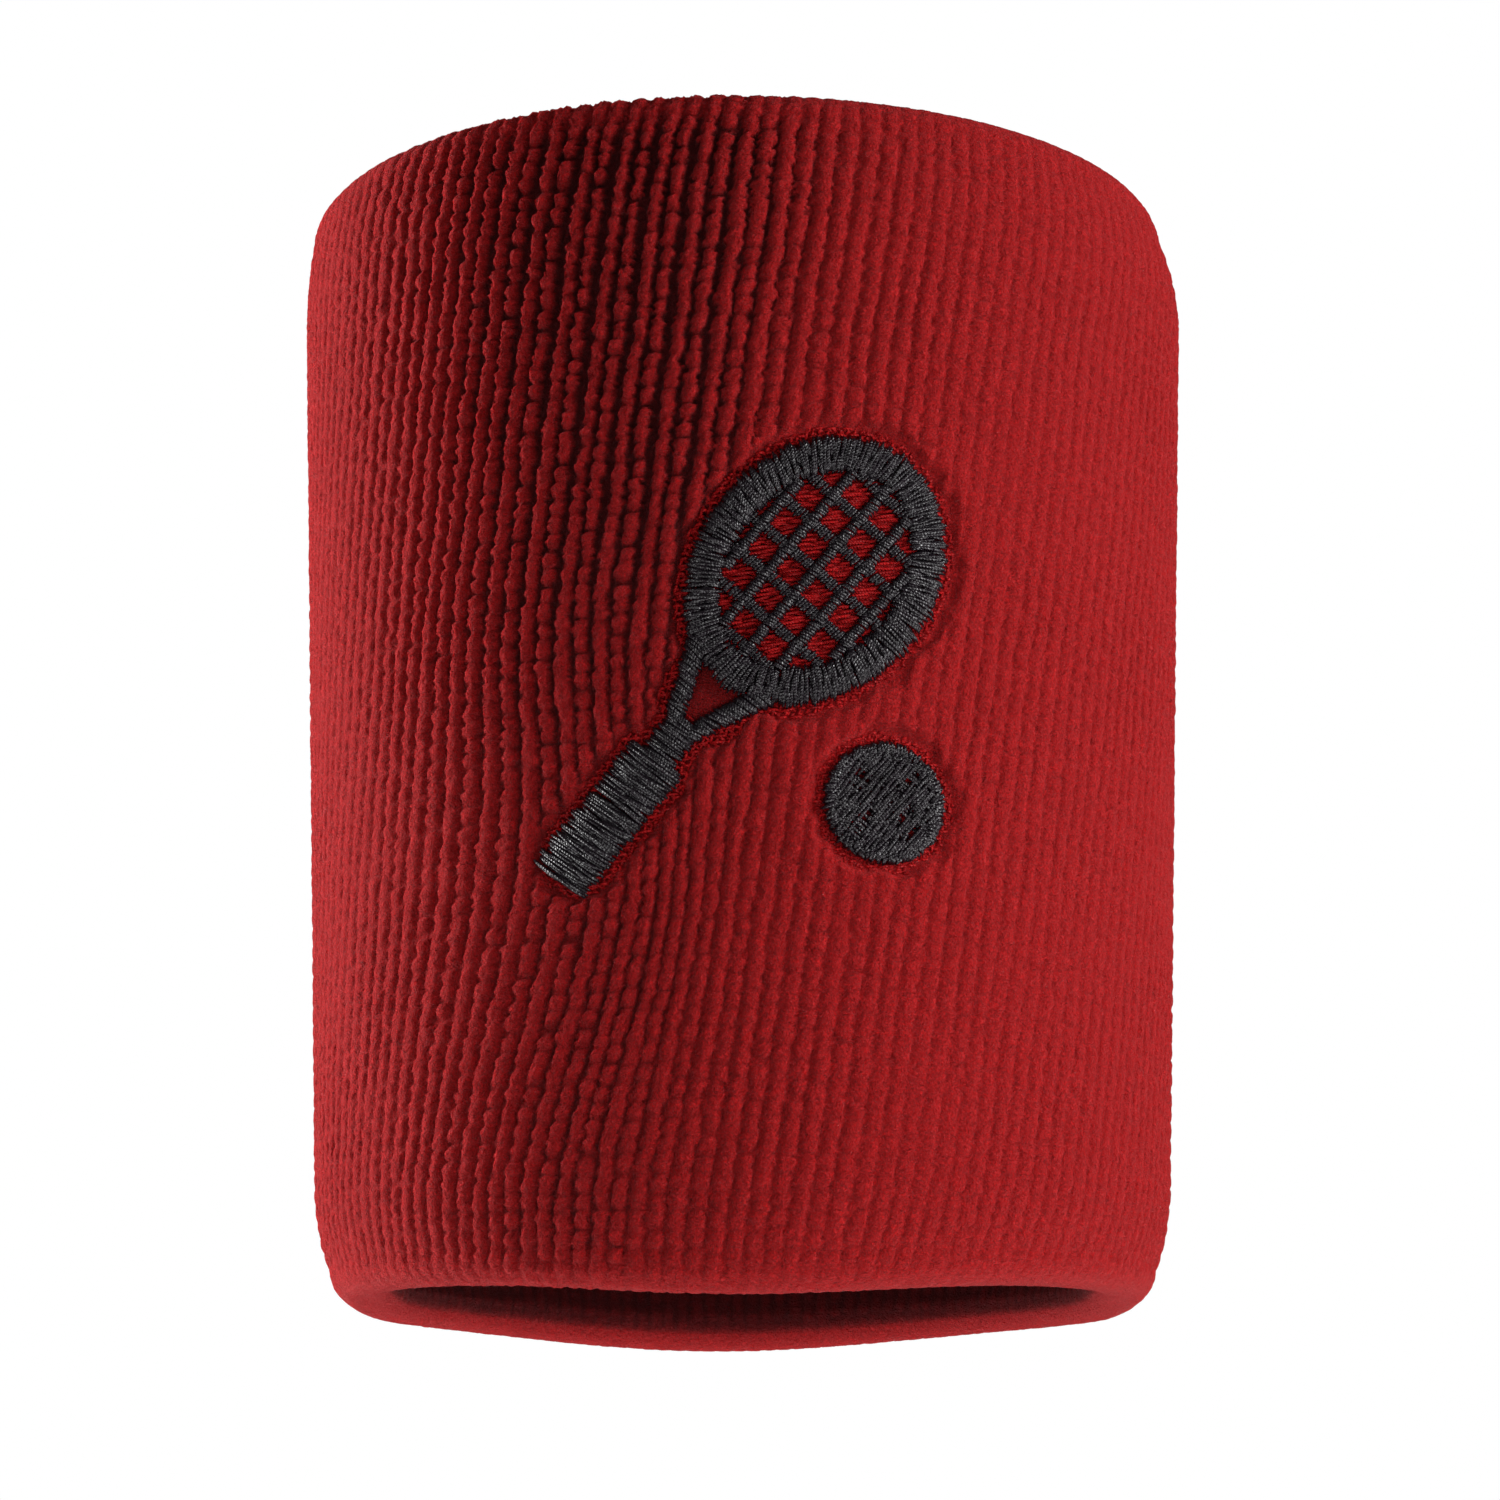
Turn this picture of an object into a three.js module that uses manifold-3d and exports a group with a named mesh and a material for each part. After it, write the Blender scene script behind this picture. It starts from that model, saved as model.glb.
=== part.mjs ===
// Sweat wristband: a rib-knit terry tube folded in on itself, closed by a seam on the
// inside, with elastic yarn between its two layers and an embroidered racket-and-ball
// emblem on the front. Millimetres, +Z up, standing on its lower rim, front towards -Y.
import * as THREE from 'three';
import { mergeVertices } from 'three/addons/utils/BufferGeometryUtils.js';
import Module from 'manifold-3d';

const wasm = await Module();
wasm.setup();

// Band. The wall is an outer layer and an inner layer of the same cloth with a space
// between them, and the band opens slightly towards the top, as on a forearm.
const bandHeight = 76;
const bottomRadius = 28.9;
const topRadius = 30.8;
const outerLayer = 1.6;
const innerLayer = 1.55;

// Each rim draws in a little where the cloth folds.
const shoulderInset = 0.9;
const shoulderHeight = 6;

// Closing seam: a ring of thread between the cloth's two ends, half way up the inside.
const seamThreadHeight = 1.6;
const seamStandOut = 0.35;
const seamHeight = bandHeight / 2;

// Elastic: one covered yarn wound between the layers.
const elasticDiameter = 0.3;
const elasticTurns = 6;

// Emblem: satin and fill thread on a field of border stitches, sunk into the pile.
const emblemLift = 1;
const threadThickness = 0.4;
const threadStandOut = 0.2;
const borderWidth = 1.2;
const borderThickness = 0.25;
const backingThickness = 0.2;
const backingMargin = 1.5;
const bobbinThickness = 0.15;
const bobbinInset = 0.35;

// Clearances: beside a piece, under the emblem, between the layers, along the seam.
const sideGap = 0.3;
const layGap = 0.2;
const liningGap = 0.15;
const seamGap = 0.3;

// Between the layers lie the backing, the bobbin thread and the elastic, all cleared.
const layerSpace = backingThickness + bobbinThickness + elasticDiameter + 4 * liningGap;
const wall = outerLayer + layerSpace + innerLayer;

// Racket and ball, drawn on the front face from the emblem's centre. The racket lies
// along its own axis: s runs from the grip to the head, t across.
const racketLean = THREE.MathUtils.degToRad(50);
const headCentre = 7.2;
const headHalfLength = 9.4;
const headHalfWidth = 7.4;
const frameWidth = 2.3;
const stringWidth = 0.7;
const stringPitch = 2.2;
const shaftWidth = 2.4;
const throatLength = 5;
const throatSpread = 7;
const prongWidth = 1.5;
const gripLength = 9.5;
const gripWidth = 3.9;
const racketButt = -17.8;
const ballRadius = 3.8;
const ballCentre = new THREE.Vector2(8.9, -9);
const ballSeamWidth = 0.5;
const ballSeamRadius = 3.4;
const ballSeamOffset = 4.6;

// How finely round things are divided.
const roundTheBand = 60;
const foldSteps = 4;
const shoulderSteps = 3;
const outlineSteps = 18;
const elasticStepsPerTurn = roundTheBand;
const elasticSides = 5;

const red = new THREE.Color(0.3, 0.012, 0.014);
const seamRed = new THREE.Color(0.26, 0.014, 0.016);
const charcoal = new THREE.Color(0.028, 0.027, 0.034);
const white = new THREE.Color(0.75, 0.74, 0.7);
const elasticGrey = new THREE.Color(0.62, 0.6, 0.56);

const clothMaterial = new THREE.MeshStandardMaterial({ color: red, roughness: 0.95, metalness: 0 });
const borderMaterial = new THREE.MeshStandardMaterial({ color: red, roughness: 0.45, metalness: 0 });
const seamMaterial = new THREE.MeshStandardMaterial({ color: seamRed, roughness: 0.6, metalness: 0 });
const threadMaterial = new THREE.MeshStandardMaterial({ color: charcoal, roughness: 0.4, metalness: 0 });
const backingMaterial = new THREE.MeshStandardMaterial({ color: white, roughness: 0.9, metalness: 0 });
const bobbinMaterial = new THREE.MeshStandardMaterial({ color: white, roughness: 0.5, metalness: 0 });
const elasticMaterial = new THREE.MeshStandardMaterial({ color: elasticGrey, roughness: 0.6, metalness: 0 });

// ---- solids -------------------------------------------------------------------------

function toSolid(geometry) {
  const bare = geometry.index ? geometry.toNonIndexed() : geometry.clone();
  bare.deleteAttribute('normal');
  bare.deleteAttribute('uv');
  const merged = mergeVertices(bare, 1e-4);
  return new wasm.Manifold(new wasm.Mesh({
    numProp: 3,
    vertProperties: new Float32Array(merged.attributes.position.array),
    triVerts: new Uint32Array(merged.index.array),
  }));
}

function toGeometry(solid) {
  const mesh = solid.getMesh();
  const geometry = new THREE.BufferGeometry();
  geometry.setAttribute('position', new THREE.BufferAttribute(mesh.vertProperties, mesh.numProp));
  geometry.setIndex(new THREE.BufferAttribute(mesh.triVerts, 1));
  geometry.computeVertexNormals();
  return geometry;
}

// A closed profile of (radius, height) points, turned about the band's axis. The points
// run anticlockwise with the radius to the right.
function revolve(profile) {
  const closed = [...profile, profile[0]].map(([radius, z]) => new THREE.Vector2(radius, z));
  return new THREE.LatheGeometry(closed, roundTheBand).rotateX(Math.PI / 2);
}

// ---- the wall -----------------------------------------------------------------------

function drawnIn(distanceFromRim) {
  const left = Math.max(0, 1 - distanceFromRim / shoulderHeight);
  return shoulderInset * left * left;
}

function outerRadius(z) {
  const cone = bottomRadius + (topRadius - bottomRadius) * (z / bandHeight);
  return cone - drawnIn(z) - drawnIn(bandHeight - z);
}

// Heights from one end of a face to the other, close together in the shoulders.
function faceHeights(from, to) {
  const heights = [from];
  for (let step = 1; step <= shoulderSteps; step++) {
    const fromBottom = outerLayer + ((shoulderHeight - outerLayer) * step) / shoulderSteps;
    heights.push(fromBottom, bandHeight - fromBottom);
  }
  heights.push(to);
  return heights.filter((z) => z >= from && z <= to).sort((a, b) => a - b);
}

function faceAtDepth(depth, from, to) {
  return faceHeights(from, to).map((z) => [outerRadius(z) - depth, z]);
}

// A quarter of a round fold, from one angle to the other about its centre.
function foldArc(radius, z, size, fromDegrees) {
  const points = [];
  for (let step = 1; step < foldSteps; step++) {
    const angle = THREE.MathUtils.degToRad(fromDegrees + (90 * step) / foldSteps);
    points.push([radius + size * Math.cos(angle), z + size * Math.sin(angle)]);
  }
  return points;
}

const lowFold = outerLayer;
const highFold = bandHeight - outerLayer;
const seamHalf = seamThreadHeight / 2 + seamGap;

function clothProfile() {
  const lowRadius = outerRadius(lowFold);
  const highRadius = outerRadius(highFold);
  const back = outerLayer + layerSpace;
  return [
    [lowRadius - outerLayer, 0],
    ...foldArc(lowRadius - outerLayer, lowFold, outerLayer, -90),
    ...faceAtDepth(0, lowFold, highFold),
    ...foldArc(highRadius - outerLayer, highFold, outerLayer, 0),
    [highRadius - outerLayer, bandHeight],
    [highRadius - back, bandHeight],
    ...foldArc(highRadius - back, bandHeight - innerLayer, innerLayer, 90),
    ...faceAtDepth(wall, seamHeight + seamHalf, bandHeight - innerLayer).reverse(),
    ...faceAtDepth(back, seamHeight + seamHalf, highFold),
    ...faceAtDepth(outerLayer, lowFold, highFold).reverse(),
    ...faceAtDepth(back, lowFold, seamHeight - seamHalf),
    ...faceAtDepth(wall, innerLayer, seamHeight - seamHalf).reverse(),
    ...foldArc(lowRadius - back, innerLayer, innerLayer, 180),
    [lowRadius - back, 0],
  ];
}

// A ring of the wall between two depths under the outer face, over part of its height.
function wallRing(shallow, deep, from, to) {
  return toSolid(revolve([
    ...faceAtDepth(shallow, from, to),
    ...faceAtDepth(deep, from, to).reverse(),
  ]));
}

function seamRing() {
  const half = seamThreadHeight / 2;
  const front = outerRadius(seamHeight) - wall - seamStandOut;
  const rear = outerRadius(seamHeight) - outerLayer - layerSpace - liningGap;
  const bevel = half / 2;
  return revolve([
    [rear - bevel, seamHeight - half],
    [rear, seamHeight - half + bevel],
    [rear, seamHeight + half - bevel],
    [rear - bevel, seamHeight + half],
    [front + bevel, seamHeight + half],
    [front, seamHeight + half - bevel],
    [front, seamHeight - half + bevel],
    [front + bevel, seamHeight - half],
  ]);
}

// ---- the elastic --------------------------------------------------------------------

class WoundYarn extends THREE.Curve {
  getPoint(t, target = new THREE.Vector3()) {
    const lowest = lowFold + elasticDiameter;
    const z = lowest + (highFold - elasticDiameter - lowest) * t;
    const depth = outerLayer + layerSpace - liningGap - elasticDiameter / 2;
    const radius = outerRadius(z) - depth;
    const angle = 2 * Math.PI * elasticTurns * t;
    return target.set(radius * Math.cos(angle), radius * Math.sin(angle), z);
  }

  getPointAt(t, target) {
    return this.getPoint(t, target);
  }
}

function elasticYarn() {
  const corners = Array.from({ length: elasticSides }, (_, i) => {
    const angle = (2 * Math.PI * i) / elasticSides;
    return new THREE.Vector2(Math.cos(angle), Math.sin(angle)).multiplyScalar(elasticDiameter / 2);
  });
  const section = new THREE.Shape(corners);
  return new THREE.ExtrudeGeometry(section, {
    extrudePath: new WoundYarn(),
    steps: elasticTurns * elasticStepsPerTurn,
  });
}

// ---- the emblem's outlines ----------------------------------------------------------

const emblemHeight = bandHeight / 2 + emblemLift;

// A point given along and across the racket, on the front face.
function onRacket(s, t) {
  return new THREE.Vector2(
    s * Math.cos(racketLean) + t * Math.sin(racketLean),
    s * Math.sin(racketLean) - t * Math.cos(racketLean),
  );
}

function ellipse(centre, halfLength, halfWidth, lean) {
  const shape = new THREE.Shape();
  shape.absellipse(centre.x, centre.y, halfLength, halfWidth, 0, 2 * Math.PI, false, lean);
  return shape;
}

function polygon(pointsAlongRacket) {
  return new THREE.Shape(pointsAlongRacket.map(([s, t]) => onRacket(s, t)));
}

// An outline carried through the front of the wall.
function prism(shape) {
  const geometry = new THREE.ExtrudeGeometry(shape, {
    depth: Math.max(bottomRadius, topRadius) + wall,
    bevelEnabled: false,
    curveSegments: outlineSteps,
  });
  return toSolid(geometry.rotateX(Math.PI / 2).translate(0, 0, emblemHeight));
}

function headPrism(margin) {
  return prism(ellipse(onRacket(headCentre, 0), headHalfLength + margin, headHalfWidth + margin, racketLean));
}

function framePrism(margin) {
  return headPrism(margin).subtract(headPrism(-frameWidth - margin));
}

const throatTop = headCentre - headHalfLength + frameWidth / 2;
const throatFoot = throatTop - throatLength;
const gripTop = racketButt + gripLength;

// The throat is two prongs that meet at the shaft. Its top edge is trimmed to the head.
function throatPrism(margin, headMargin) {
  const shaft = shaftWidth / 2 + margin;
  const spread = throatSpread / 2 + margin;
  const outline = polygon([
    [gripTop + sideGap - margin, -shaft],
    [throatFoot, -shaft],
    [throatTop, -spread],
    [throatTop + frameWidth, -spread],
    [throatTop + frameWidth, spread],
    [throatTop, spread],
    [throatFoot, shaft],
    [gripTop + sideGap - margin, shaft],
  ]);
  const opening = throatSpread / 2 - prongWidth - margin;
  const whole = prism(outline).subtract(headPrism(headMargin));
  if (opening <= 0) return whole;
  return whole.subtract(prism(polygon([
    [throatFoot + prongWidth + margin, 0],
    [throatTop, -opening],
    [throatTop + frameWidth, -opening],
    [throatTop + frameWidth, opening],
    [throatTop, opening],
  ])));
}

function gripPrism(margin) {
  const half = gripWidth / 2 + margin;
  const corner = half / 2;
  const butt = racketButt - margin;
  return prism(polygon([
    [butt + corner, -half],
    [gripTop + margin, -half],
    [gripTop + margin, half],
    [butt + corner, half],
    [butt, half - corner],
    [butt, corner - half],
  ]));
}

function ballPrism(margin) {
  return prism(ellipse(ballCentre, ballRadius + margin, ballRadius + margin, 0));
}

// Two curved seams face each other across the ball and stop short of its edge.
function ballSeamsPrism() {
  const seams = [-1, 1].map((side) => {
    const centre = ballCentre.clone().add(new THREE.Vector2(side * ballSeamOffset, 0));
    const half = ballSeamWidth / 2;
    return prism(ellipse(centre, ballSeamRadius + half, ballSeamRadius + half, 0))
      .subtract(prism(ellipse(centre, ballSeamRadius - half, ballSeamRadius - half, 0)));
  });
  return seams[0].add(seams[1]).intersect(ballPrism(-ballSeamWidth));
}

function barPrism(s, t, alongRacket, length) {
  const half = stringWidth / 2;
  const [ds, dt] = alongRacket ? [length / 2, half] : [half, length / 2];
  return prism(polygon([[s - ds, t - dt], [s + ds, t - dt], [s + ds, t + dt], [s - ds, t + dt]]));
}

// Strings at an even pitch both ways, trimmed to the inside of the frame.
function stringsPrism(margin) {
  const across = Math.floor(headHalfWidth / stringPitch);
  const along = Math.floor(headHalfLength / stringPitch);
  let net = barPrism(headCentre, 0, true, 2 * headHalfLength);
  for (let i = -across; i <= across; i++) {
    net = net.add(barPrism(headCentre, i * stringPitch, true, 2 * headHalfLength));
  }
  for (let i = -along; i <= along; i++) {
    net = net.add(barPrism(headCentre + i * stringPitch, 0, false, 2 * headHalfWidth));
  }
  return net.intersect(headPrism(-frameWidth - margin));
}

// Everything that the border stitches surround, grown by a margin.
function emblemField(margin) {
  return headPrism(margin)
    .add(throatPrism(margin, 0))
    .add(gripPrism(margin))
    .add(ballPrism(margin))
    .add(jumpPrism(borderWidth + margin));
}

// The short run of stitches that joins the ball's stitches to the racket's.
function jumpPrism(width) {
  const from = onRacket(throatFoot + throatLength / 2, 0);
  const along = ballCentre.clone().sub(from);
  const side = new THREE.Vector2(-along.y, along.x).normalize().multiplyScalar(width / 2);
  return prism(new THREE.Shape([
    from.clone().sub(side),
    ballCentre.clone().sub(side),
    ballCentre.clone().add(side),
    from.clone().add(side),
  ]));
}

// ---- the emblem's layers, from the front to the lining ------------------------------

// No outline reaches further from the emblem's centre than the racket and its margins.
const racketReach = Math.max(headCentre + headHalfLength, -racketButt);
const emblemReach = racketReach + borderWidth + backingMargin;
const emblemLow = emblemHeight - emblemReach;
const emblemHigh = emblemHeight + emblemReach;

const threadBack = threadThickness - threadStandOut;
const borderFront = threadBack + layGap;
const borderBack = borderFront + borderThickness;
const pocketDepth = borderBack + layGap;
const backingFront = outerLayer + liningGap;
const backingBack = backingFront + backingThickness;
const bobbinFront = backingBack + liningGap;
const bobbinBack = bobbinFront + bobbinThickness;

const threadShell = wallRing(-threadStandOut, threadBack, emblemLow, emblemHigh);
const borderShell = wallRing(borderFront, borderBack, emblemLow, emblemHigh);
const pocketShell = wallRing(-wall, pocketDepth, emblemLow, emblemHigh);
const backingShell = wallRing(backingFront, backingBack, emblemLow, emblemHigh);
const bobbinShell = wallRing(bobbinFront, bobbinBack, emblemLow, emblemHigh);

function terryTube() {
  const pocket = emblemField(borderWidth + sideGap).intersect(pocketShell);
  return toGeometry(toSolid(revolve(clothProfile())).subtract(pocket));
}

function bobbinThread() {
  const runs = framePrism(-bobbinInset)
    .add(throatPrism(-bobbinInset, -frameWidth / 2))
    .add(gripPrism(-bobbinInset))
    .add(barPrism(gripTop, 0, true, 2 * frameWidth))
    .add(ballPrism(-bobbinInset))
    .add(jumpPrism(stringWidth));
  return toGeometry(runs.intersect(bobbinShell));
}

// ---- the object ---------------------------------------------------------------------

const group = new THREE.Group();

function addPiece(name, geometry, material) {
  const mesh = new THREE.Mesh(geometry, material);
  mesh.name = name;
  group.add(mesh);
}

function addStitches(name, outline, shell, material) {
  addPiece(name, toGeometry(outline.intersect(shell)), material);
}

addPiece('terry_tube', terryTube(), clothMaterial);
addPiece('closing_seam_thread', seamRing(), seamMaterial);
addPiece('elastic_yarn', elasticYarn(), elasticMaterial);

addStitches('emblem_racket_frame', framePrism(0), threadShell, threadMaterial);
addStitches('emblem_racket_strings', stringsPrism(sideGap), threadShell, threadMaterial);
addStitches('emblem_racket_throat', throatPrism(0, sideGap), threadShell, threadMaterial);
addStitches('emblem_racket_grip', gripPrism(0), threadShell, threadMaterial);
addStitches('emblem_ball', ballPrism(0).subtract(ballSeamsPrism()), threadShell, threadMaterial);
addStitches('emblem_border_stitches', emblemField(borderWidth), borderShell, borderMaterial);
addStitches('embroidery_backing', emblemField(borderWidth + backingMargin), backingShell, backingMaterial);
addPiece('embroidery_bobbin_thread', bobbinThread(), bobbinMaterial);

export default group;
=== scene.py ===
"""Sweat wristband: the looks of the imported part. Metres, +Z up, front towards -Y."""
import math

import bpy
import numpy as np
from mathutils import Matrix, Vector


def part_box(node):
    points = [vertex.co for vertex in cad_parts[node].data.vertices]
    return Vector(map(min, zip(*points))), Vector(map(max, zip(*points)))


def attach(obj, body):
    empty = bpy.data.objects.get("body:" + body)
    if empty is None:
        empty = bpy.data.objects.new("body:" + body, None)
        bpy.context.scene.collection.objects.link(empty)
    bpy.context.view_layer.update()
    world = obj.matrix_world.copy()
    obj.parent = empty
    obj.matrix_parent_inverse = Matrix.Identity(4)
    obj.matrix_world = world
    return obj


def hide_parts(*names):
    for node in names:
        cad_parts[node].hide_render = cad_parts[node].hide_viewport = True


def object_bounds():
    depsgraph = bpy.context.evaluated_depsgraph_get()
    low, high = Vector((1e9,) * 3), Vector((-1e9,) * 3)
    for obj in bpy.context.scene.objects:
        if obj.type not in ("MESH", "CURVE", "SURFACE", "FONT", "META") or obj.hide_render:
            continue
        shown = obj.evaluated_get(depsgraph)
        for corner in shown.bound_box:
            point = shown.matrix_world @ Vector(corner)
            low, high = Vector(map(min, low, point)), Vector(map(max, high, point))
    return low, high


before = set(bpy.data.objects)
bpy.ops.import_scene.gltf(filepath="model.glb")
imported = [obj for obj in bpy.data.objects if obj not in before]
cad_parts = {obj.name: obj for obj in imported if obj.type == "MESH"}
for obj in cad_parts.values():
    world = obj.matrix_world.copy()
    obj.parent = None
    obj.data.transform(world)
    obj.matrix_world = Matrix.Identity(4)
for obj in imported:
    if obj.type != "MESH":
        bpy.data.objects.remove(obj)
cad_low, cad_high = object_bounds()

MM = 0.001
BODY = "root"

# ---- the band ------------------------------------------------------------------------

HEIGHT = cad_high.z - cad_low.z
MIDDLE = HEIGHT / 2
LOWER_RADIUS = 28.8 * MM
UPPER_RADIUS = 30.8 * MM
WALL = 4.4 * MM
CLOTH = 1.6 * MM
FOLD = 2.2 * MM
SEAM_GAP = 0.5 * MM

# Both ends turn in over a shoulder, the upper one a little more towards +X.
SHOULDER = 6 * MM
SHOULDER_INSET = 0.95 * MM
SHOULDER_LEAN = 0.42 * MM

# The soft lower rim lifts either side of the front and sags at the back.
LIP_LIFT = 0.95 * MM
LIP_DIP = 1.15 * MM
LIP_DIP_WIDTH = math.radians(32)
LIP_SAG = 1.2 * MM
LIP_SAG_PLACE = math.radians(-175)
LIP_SAG_WIDTH = math.radians(36)
LIP_REACH = 12 * MM
LIP_FRONT = math.pi / 2 + 0.35
LIP_FADE = 0.6

# ---- the knit ------------------------------------------------------------------------

RIBS = 144
PAIRS = RIBS // 2
COLUMNS_A_RIB = 8
COURSE = 1.12 * MM
TWIST = math.radians(21)

# How deep a furrow is where the pairs of ribs stand closed, and where they stand open.
SHUT_DEPTH = 0.23 * MM
OPEN_DEPTH = 1.0 * MM

# The mesh's rows, closest together where the cloth is seen.
OUTER_ROW = 0.20 * MM
FOLD_ROW = 0.25 * MM
INNER_ROW = 0.5 * MM
BACK_ROW = 2.0 * MM

# The embroidery pulls the ribs left of it across the front.
PULL = 2.5 * MM
PULL_PLACE = math.radians(-25)
PULL_WIDTH = math.radians(18)
PULL_HEIGHT = 25 * MM
PULL_REACH = 20 * MM

# The pairs of ribs stand furthest apart high up and left of the front.
SPREAD_PLACE = math.radians(-20)
SPREAD_WIDTH = math.radians(27)
SPREAD_FROM = 20 * MM
SPREAD_RISE = 45 * MM

# A pair of ribs is a smooth cord, a thin furrow, a column of tufts and a wide furrow.
# Widths are shares of the pair and lengths are in courses. CLOSED_GAP is below 0, so
# that cord and tufts run into each other where the furrows are closed.
CLOSED_GAP = -0.006
THIN_FURROW = 0.060
WIDE_FURROW = 0.115
CORD_SLANT = 0.25
CORD_LENGTH = 0.66
CORD_GAP = 0.48
TUFT_LENGTH = 0.57
TUFT_GAP = 0.20
SHUT_FUZZ = 0.42

# The pile is calmer over the folds, and its last rows run out at the seam.
FOLD_CALM_REACH = 1.8 * MM
SEAM_REACH = 2 * MM

# The stitches press the pile flat under the emblem and push it up beside it.
# EMBLEM_REACH is the angle from the front within which the emblem is looked for.
PRESSED_PILE = 0.15
PRESSED_EDGE = 0.7 * MM
PRESSED_WAVE = 0.35 * MM
PRESSED_DENT = 0.30 * MM
PUSHED_UP = 0.12 * MM
PUSHED_PLACE = 1.6 * MM
PUSHED_WIDTH = 1.2 * MM
EMBLEM_REACH = 1.2

NOISE_ROWS = 1024
TUFT_ROWS = 512


def smooth(x):
    """0 below 0 and 1 above 1, with a smooth step between."""
    x = np.clip(x, 0, 1)
    return x * x * (3 - 2 * x)


def noise(u, v, period, seed):
    """Smooth noise from -1 to 1 on a unit lattice that repeats along u after period."""
    table = np.random.default_rng(seed).uniform(-1, 1, (period, NOISE_ROWS))
    iu, iv = np.floor(u).astype(int), np.floor(v).astype(int)
    fu, fv = smooth(u - iu), smooth(v - iv)
    a, b = iu % period, (iu + 1) % period
    c, d = iv % NOISE_ROWS, (iv + 1) % NOISE_ROWS
    low = table[a, c] * (1 - fu) + table[b, c] * fu
    high = table[a, d] * (1 - fu) + table[b, d] * fu
    return low * (1 - fv) + high * fv


def wrapped(phi):
    """The same angle between -pi and pi."""
    return (phi + math.pi) % (2 * math.pi) - math.pi


def bell(x, width):
    """1 where x is 0, falling away smoothly either side of it."""
    return np.exp(-((x / width) ** 2))


def hill(phi, place, width):
    """A bell at a place round the band."""
    return bell(wrapped(phi - place), width)


def shoulder(distance):
    """1 at a rim, down to 0 where the wall is straight."""
    return np.clip(1 - (distance - FOLD) / SHOULDER, 0, 1) ** 2


def outer_radius(z, phi=0.0):
    """The pile's outer face. phi is 0 at the front and grows towards +X."""
    cone = LOWER_RADIUS + (UPPER_RADIUS - LOWER_RADIUS) * z / HEIGHT
    upper_inset = SHOULDER_INSET + SHOULDER_LEAN * np.sin(phi)
    return cone - SHOULDER_INSET * shoulder(z) - upper_inset * shoulder(HEIGHT - z)


def lip_height(phi):
    """How far the lower rim lies above its own plane."""
    front = smooth((LIP_FRONT - np.abs(phi)) / LIP_FADE)
    sag = LIP_SAG * hill(phi, LIP_SAG_PLACE, LIP_SAG_WIDTH)
    return LIP_LIFT * front - LIP_DIP * hill(phi, 0.0, LIP_DIP_WIDTH) - sag


# ---- the emblem's outlines, as (x, z) in metres on the band's front ------------------

def front_middle(node):
    """The middle of a CAD node's box, seen from the front as (x, z)."""
    low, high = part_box(node)
    middle = (low + high) / 2
    return np.array([middle.x, middle.z])


RACKET_LEAN = math.radians(50)
HEAD = front_middle("emblem_racket_frame")
HEAD_HALF_LENGTH = 9.4 * MM
HEAD_HALF_WIDTH = 7.4 * MM
FRAME_WIDTH = 2.3 * MM
STRING_PITCH = 2.2 * MM
STRING_WIDTH = 0.8 * MM
THROAT_LENGTH = 5 * MM
THROAT_SPREAD = 7 * MM
PRONG_WIDTH = 1.6 * MM
SHAFT_WIDTH = 2.4 * MM
GRIP_LENGTH = 9.5 * MM
GRIP_WIDTH = 3.9 * MM
BUTT_FROM_HEAD = 25 * MM
BALL = front_middle("emblem_ball")
BALL_RADIUS = (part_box("emblem_ball")[1].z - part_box("emblem_ball")[0].z) / 2
BALL_SEAM_RADIUS = 3.4 * MM
BALL_SEAM_OFFSET = 4.6 * MM
BALL_SEAM_HALF_WIDTH = 0.24 * MM
BORDER = 1.2 * MM

ALONG = np.array([math.cos(RACKET_LEAN), math.sin(RACKET_LEAN)])
ACROSS = np.array([math.sin(RACKET_LEAN), -math.cos(RACKET_LEAN)])
THROAT_TOP = -HEAD_HALF_LENGTH + FRAME_WIDTH / 2
THROAT_FOOT = THROAT_TOP - THROAT_LENGTH
GRIP_TOP = -BUTT_FROM_HEAD + GRIP_LENGTH


def on_racket(s, t):
    """A front-face point given along and across the racket from its head's centre."""
    return HEAD + np.multiply.outer(s, ALONG) + np.multiply.outer(t, ACROSS)


def capsule_distance(points, start, end, radius):
    """How far points are outside a bar with round ends. Negative inside it."""
    line = end - start
    along = np.clip(((points - start) @ line) / (line @ line), 0, 1)
    nearest = start + along[..., None] * line
    return np.linalg.norm(points - nearest, axis=-1) - radius


def ellipse_distance(points, half_length, half_width):
    """About how far points are outside an ellipse round the racket's head."""
    offset = points - HEAD
    s, t = offset @ ALONG, offset @ ACROSS
    scaled = np.hypot(s / half_length, t / half_width)
    slope = np.hypot(s / half_length**2, t / half_width**2)
    return (scaled - 1) * scaled / np.maximum(slope, 1e-6)


def emblem_distance(points):
    """How far front-face points are outside the emblem. Negative inside it."""
    head = ellipse_distance(points, HEAD_HALF_LENGTH, HEAD_HALF_WIDTH)
    top = on_racket(THROAT_TOP, 0.0)
    shaft = capsule_distance(points, top, on_racket(GRIP_TOP, 0.0), SHAFT_WIDTH / 2)
    fork_foot = on_racket(THROAT_FOOT / 2 + THROAT_TOP / 2, 0.0)
    fork = capsule_distance(points, top, fork_foot, THROAT_SPREAD / 3)
    half = GRIP_WIDTH / 2
    grip_top = on_racket(GRIP_TOP - half / 2, 0.0)
    grip_foot = on_racket(-BUTT_FROM_HEAD + half, 0.0)
    grip = capsule_distance(points, grip_top, grip_foot, half)
    ball = np.linalg.norm(points - BALL, axis=-1) - BALL_RADIUS
    return np.minimum.reduce([head, shaft, fork, grip, ball])


# ---- the cloth -----------------------------------------------------------------------

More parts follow.
